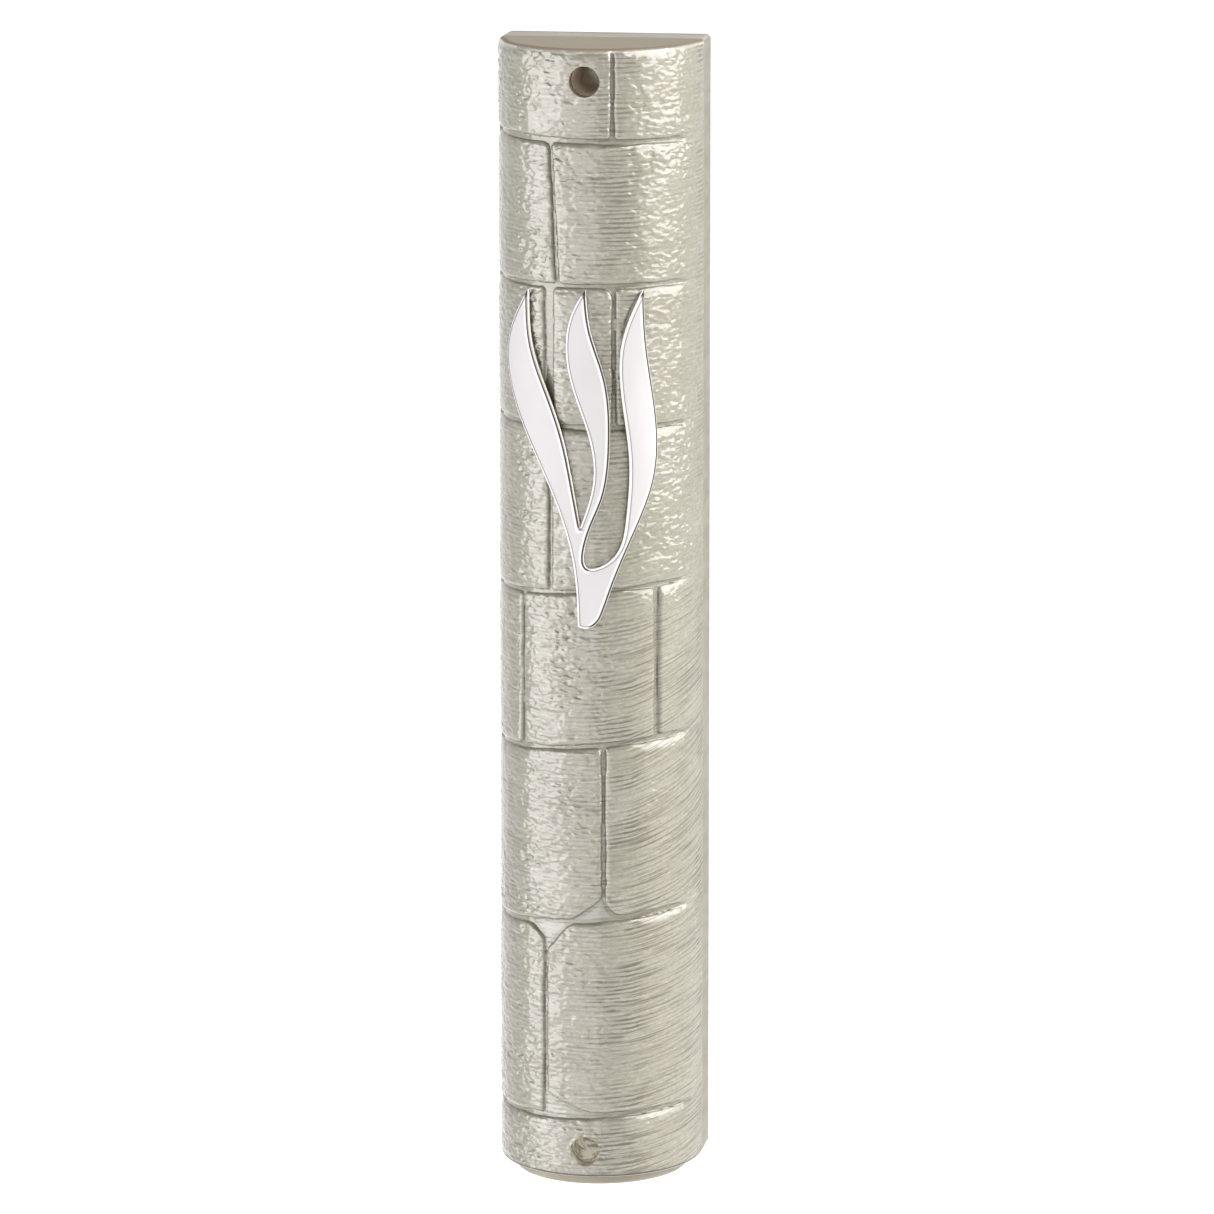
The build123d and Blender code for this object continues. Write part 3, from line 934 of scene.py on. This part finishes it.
def satin_silver():
    """Satin silver plate with a painted highlight on its bevel, painted shade in the crease between bevel
    and face, and a dark rim of painted shade on its right edges and tips.
    """
    n = Nodes("satin_silver")
    polish = n.noise((900, 900, 900), detail=3)
    stain = n.ramp(n.noise((150, 150, 60), detail=2), 0.4, 0.7)
    face = n.mix(stain, (0.366, 0.357, 0.348), (0.346, 0.336, 0.323))
    # painted highlight on the bevel
    face = n.mix(n.attribute("bevel"), face, (0.52, 0.52, 0.51))
    # painted shade in the crease
    face = n.mix(n.attribute("crease"), face, (0.07, 0.066, 0.06))
    # painted shade on the rim
    n.feed("Base Color", n.mix(n.attribute("rim"), face, (0.022, 0.013, 0.008)))
    n.feed("Roughness", n.scaled(polish, 0.40, 0.48))
    n.set(Metallic=0.08, Specular_IOR_Level=0.15)
    n.bump(n.noise((260, 260, 260), detail=1), 0.02)
    return n.material


def letter_edge():
    """The letter's cut edge: a pale band of painted light between two dark lines of painted shade."""
    n = Nodes("letter_edge")
    grain = n.noise((1500, 1500, 500), detail=3)
    rise = n.attribute("rise")
    # painted light on the band in the middle of the wall, painted shade at its foot and top
    band = n.math("MULTIPLY", n.ramp(rise, 0.05, 0.16), n.ramp(rise, 0.92, 0.80))
    dark = n.mix(grain, (0.03, 0.025, 0.02), (0.07, 0.06, 0.05))
    n.feed("Base Color", n.mix(band, dark, (0.92, 0.86, 0.76)))
    n.feed("Roughness", n.scaled(grain, 0.3, 0.5))
    n.set(Specular_IOR_Level=0.3)
    n.bump(grain, 0.01)
    return n.material


def film():
    """Silver film with fine level lines."""
    n = Nodes("film")
    lines = n.ramp(n.noise((60, 60, 2600), detail=3, roughness=0.62), 0.35, 0.65)
    n.feed("Base Color", n.mix(lines, (0.42, 0.41, 0.37), (0.74, 0.73, 0.69)))
    n.feed("Roughness", n.scaled(lines, 0.4, 0.26))
    n.set(Metallic=0.8)
    n.bump(lines, 0.03)
    return n.material


def satin_brown():
    """The nail block's dull brown plastic."""
    n = Nodes("satin_brown")
    grain = n.noise((1800, 1800, 1800), detail=4)
    patch = n.ramp(n.noise((200, 200, 200), detail=2), 0.35, 0.7)
    n.feed("Base Color", n.mix(patch, (0.73, 0.65, 0.54), (0.85, 0.76, 0.64)))
    n.feed("Roughness", n.scaled(grain, 0.6, 0.8))
    n.set(Specular_IOR_Level=0.05)
    n.bump(grain, 0.03)
    return n.material


def hole_plastic():
    """The wall of the lower nail hole: pale clear plastic with wavy glints from its coat, and wavy painted
    highlights in its colour.
    """
    n = Nodes("hole_plastic")
    wave = n.noise((420, 420, 420), detail=2, distortion=1.5)
    # painted highlights: pale wavy streaks in the colour
    tone = n.mix(n.ramp(wave, 0.4, 0.6), (0.20, 0.185, 0.135), (0.52, 0.49, 0.40))
    n.feed("Base Color", tone)
    n.feed("Roughness", n.scaled(wave, 0.10, 0.3))
    n.set(Coat_Weight=0.8, Coat_Roughness=0.1, Coat_IOR=1.5)
    n.bump(wave, 0.12)
    return n.material


PLUG_TONE, LIGHT_PLUG_TONE = (0.168, 0.152, 0.108), (0.204, 0.187, 0.136)
# In the nail hole: pale tones with painted wavy highlights, and a painted glow that stands in for light
# through the plastic
BORE_TONE, BORE_HIGHLIGHT_TONE = (0.45, 0.41, 0.31), (0.98, 0.96, 0.90)
BORE_PAINTED_GLOW, LIGHT_BORE_PAINTED_GLOW = (0.25, 0.22, 0.15), (1.0, 0.96, 0.86)


def plug_plastic():
    """The plug: dull beige outside, and inside its nail hole pale plastic with painted wavy highlights and a
    painted glow that stands in for light through the translucent plastic.
    """
    n = Nodes("plug_plastic")
    grain = n.noise((2400, 2400, 2400), detail=4)
    patch = n.ramp(n.noise((260, 260, 260), detail=3), 0.3, 0.7)
    tone = n.mix(patch, PLUG_TONE, LIGHT_PLUG_TONE)
    place = n.separate(n.coordinates.outputs["Object"])
    rise = n.math("SUBTRACT", place["Z"], NAIL_HOLES[1] * MM)
    away = n.math("SQRT", n.add(n.math("MULTIPLY", rise, rise), n.math("POWER", place["X"], 2.0), 1.0))
    bore = n.ramp(away, (NAIL_RADIUS + 0.12) * MM, (NAIL_RADIUS + 0.04) * MM)
    wave = n.ramp(n.noise((420, 420, 420), detail=2, distortion=1.5), 0.42, 0.58)
    glow = n.mix(wave, BORE_PAINTED_GLOW, LIGHT_BORE_PAINTED_GLOW)
    n.feed("Base Color", n.mix(bore, tone, n.mix(wave, BORE_TONE, BORE_HIGHLIGHT_TONE)))
    # painted glow in the nail hole
    n.feed("Emission Color", n.mix(bore, (0, 0, 0), glow))
    n.feed("Roughness", n.scaled(grain, 0.34, 0.55))
    n.set(Specular_IOR_Level=0.3, Emission_Strength=0.15)
    n.bump(n.add(grain, n.math("MULTIPLY", wave, bore), 4.0), 0.03)
    return n.material


def parchment():
    """Mottled, fibrous parchment."""
    n = Nodes("parchment")
    fibre = n.noise((900, 900, 260), detail=5, roughness=0.6)
    mottle = n.ramp(n.noise((140, 140, 60), detail=4), 0.3, 0.7)
    n.feed("Base Color", n.mix(mottle, (0.27, 0.215, 0.140), (0.34, 0.285, 0.200)))
    n.feed("Roughness", n.scaled(fibre, 0.55, 0.8))
    n.bump(fibre, 0.05)
    return n.material


def wrapping_paper():
    """Pale fibrous paper, a little creased along its length."""
    n = Nodes("wrapping_paper")
    fibre = n.noise((1400, 1400, 500), detail=5, roughness=0.65)
    crease = n.noise((160, 160, 30), detail=3)
    tone = n.mix(n.ramp(fibre, 0.3, 0.7), (0.235, 0.222, 0.192), (0.300, 0.286, 0.252))
    n.feed("Base Color", tone)
    n.feed("Roughness", n.scaled(fibre, 0.5, 0.72))
    n.bump(n.add(fibre, crease, 2.0), 0.04)
    return n.material


def paint(node, material):
    """Gives a CAD node its material."""
    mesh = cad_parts[node].data
    mesh.materials.clear()
    mesh.materials.append(material)


# ---------------------------------------------------------------------------------------------------
# Pieces

rim_plastic = clear_plastic("rim_plastic", dark=(0.05, 0.045, 0.032), light=(0.09, 0.082, 0.06))
glue = clear_plastic("glue", dark=(0.10, 0.09, 0.075), light=(0.14, 0.13, 0.105))

shell = front_shell()
for material in (pearl_skin(), top_face(), rim_plastic, hole_plastic()):
    shell.data.materials.append(material)
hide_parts("front_shell")
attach(shell, "case")

letter = shin_letter()
for material in (satin_silver(), letter_edge()):
    letter.data.materials.append(material)
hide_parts("shin_letter")
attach(letter, "case")

paint("back_housing", side_plastic())
paint("silver_film", film())
paint("top_nail_block", satin_brown())
paint("end_plug", plug_plastic())
paint("letter_glue", glue)
paint("parchment_roll", parchment())
paint("scroll_sleeve", wrapping_paper())

# ---------------------------------------------------------------------------------------------------
# Stage, light and camera

# Low enough to stay under the plug when it is pulled right out
FLOOR_DROP = 420.0
FLOOR_REACH = 6000
# The studio's brightness level with the case and overhead, and the heights on the sky's unit sphere between
# which it changes
HORIZON, CEILING = 1.02, 0.25
CEILING_START, CEILING_FULL = 0.35, 0.85
SENSOR_WIDTH = 36.0


def stage_floor():
    """A plain white floor, well below the case."""
    sides = ((-1, -1), (1, -1), (1, 1), (-1, 1))
    corners = [(x * FLOOR_REACH, y * FLOOR_REACH, -FLOOR_DROP) for x, y in sides]
    floor = new_object("floor", corners, [(0, 1, 2, 3)], smooth=False)
    n = Nodes("floor_white")
    n.set(Base_Color=(0.8, 0.8, 0.8, 1), Roughness=0.9, Emission_Color=(1, 1, 1, 1), Emission_Strength=0.65)
    floor.data.materials.append(n.material)


def sky():
    """A white studio all round, with a dark ceiling."""
    world = bpy.data.worlds.new("studio")
    bpy.context.scene.world = world
    world.use_nodes = True
    tree = world.node_tree
    background = tree.nodes["Background"]
    coordinates = tree.nodes.new("ShaderNodeTexCoord")
    split = tree.nodes.new("ShaderNodeSeparateXYZ")
    shade = tree.nodes.new("ShaderNodeMapRange")
    shade.interpolation_type = "SMOOTHSTEP"
    shade.inputs["From Min"].default_value = CEILING_START
    shade.inputs["From Max"].default_value = CEILING_FULL
    shade.inputs["To Min"].default_value = HORIZON
    shade.inputs["To Max"].default_value = CEILING
    tree.links.new(coordinates.outputs["Generated"], split.inputs["Vector"])
    tree.links.new(split.outputs["Z"], shade.inputs["Value"])
    tree.links.new(shade.outputs["Result"], background.inputs["Strength"])
    background.inputs["Color"].default_value = (1, 1, 1, 1)


def softbox(name, azimuth, elevation, distance, width, height, radiance, colour):
    """A rectangular light that faces the case. Azimuth 0 is straight in front, and positive towards +X."""
    a, e = math.radians(azimuth), math.radians(elevation)
    place = Vector((math.sin(a) * math.cos(e), -math.cos(a) * math.cos(e), math.sin(e))) * distance * MM
    data = bpy.data.lights.new(name, "AREA")
    data.shape = "RECTANGLE"
    data.size = width * MM
    data.size_y = height * MM
    data.energy = radiance * math.pi * width * height * MM * MM
    data.color = colour
    light = bpy.data.objects.new(name, data)
    light.location = place
    light.rotation_euler = place.to_track_quat("Z", "Y").to_euler()
    bpy.context.scene.collection.objects.link(light)


# Name, azimuth and elevation in degrees, distance, width and height, radiance, colour
SOFTBOXES = [
    ("left_box", -61, 4, 800, 680, 760, 4.1, (1.0, 0.97, 1.03)),
    ("front_box", -16, -2, 1000, 960, 760, 1.65, (1.0, 0.94, 1.06)),
    ("right_box", 88, 30, 900, 960, 1100, 7.7, (1.0, 0.975, 1.01)),
]
# Angles in degrees. The frame's width is taken at the camera's distance.
CAMERA_PITCH = 10.588
CAMERA_YAW = 8.865
CAMERA_ROLL = -0.02
CAMERA_DISTANCE = 767.0
FRAME_WIDTH = 128.7
AIM_ACROSS, AIM_UP, AIM_HEIGHT = -0.32, -0.74, -0.89


def camera():
    """Looks down a little at the case from its right, from about three quarters of a metre."""
    pitch, yaw = math.radians(CAMERA_PITCH), math.radians(CAMERA_YAW)
    back = Vector((math.sin(yaw) * math.cos(pitch), -math.cos(yaw) * math.cos(pitch), math.sin(pitch)))
    right = Vector((math.cos(yaw), math.sin(yaw), 0))
    up = back.cross(right)
    data = bpy.data.cameras.new("camera")
    data.sensor_width = SENSOR_WIDTH
    data.lens = SENSOR_WIDTH * CAMERA_DISTANCE / FRAME_WIDTH
    obj = bpy.data.objects.new("camera", data)
    place = Vector((0, 0, AIM_HEIGHT)) + back * CAMERA_DISTANCE + right * AIM_ACROSS + up * AIM_UP
    roll = Matrix.Rotation(math.radians(CAMERA_ROLL), 4, "Z")
    turn = Matrix((right, up, back)).transposed().to_4x4() @ roll
    obj.matrix_world = Matrix.Translation(place * MM) @ turn
    data.clip_start = 0.01
    bpy.context.scene.collection.objects.link(obj)
    bpy.context.scene.camera = obj


stage_floor()
sky()
for box in SOFTBOXES:
    softbox(*box)
camera()
bpy.context.scene.view_settings.view_transform = "Standard"
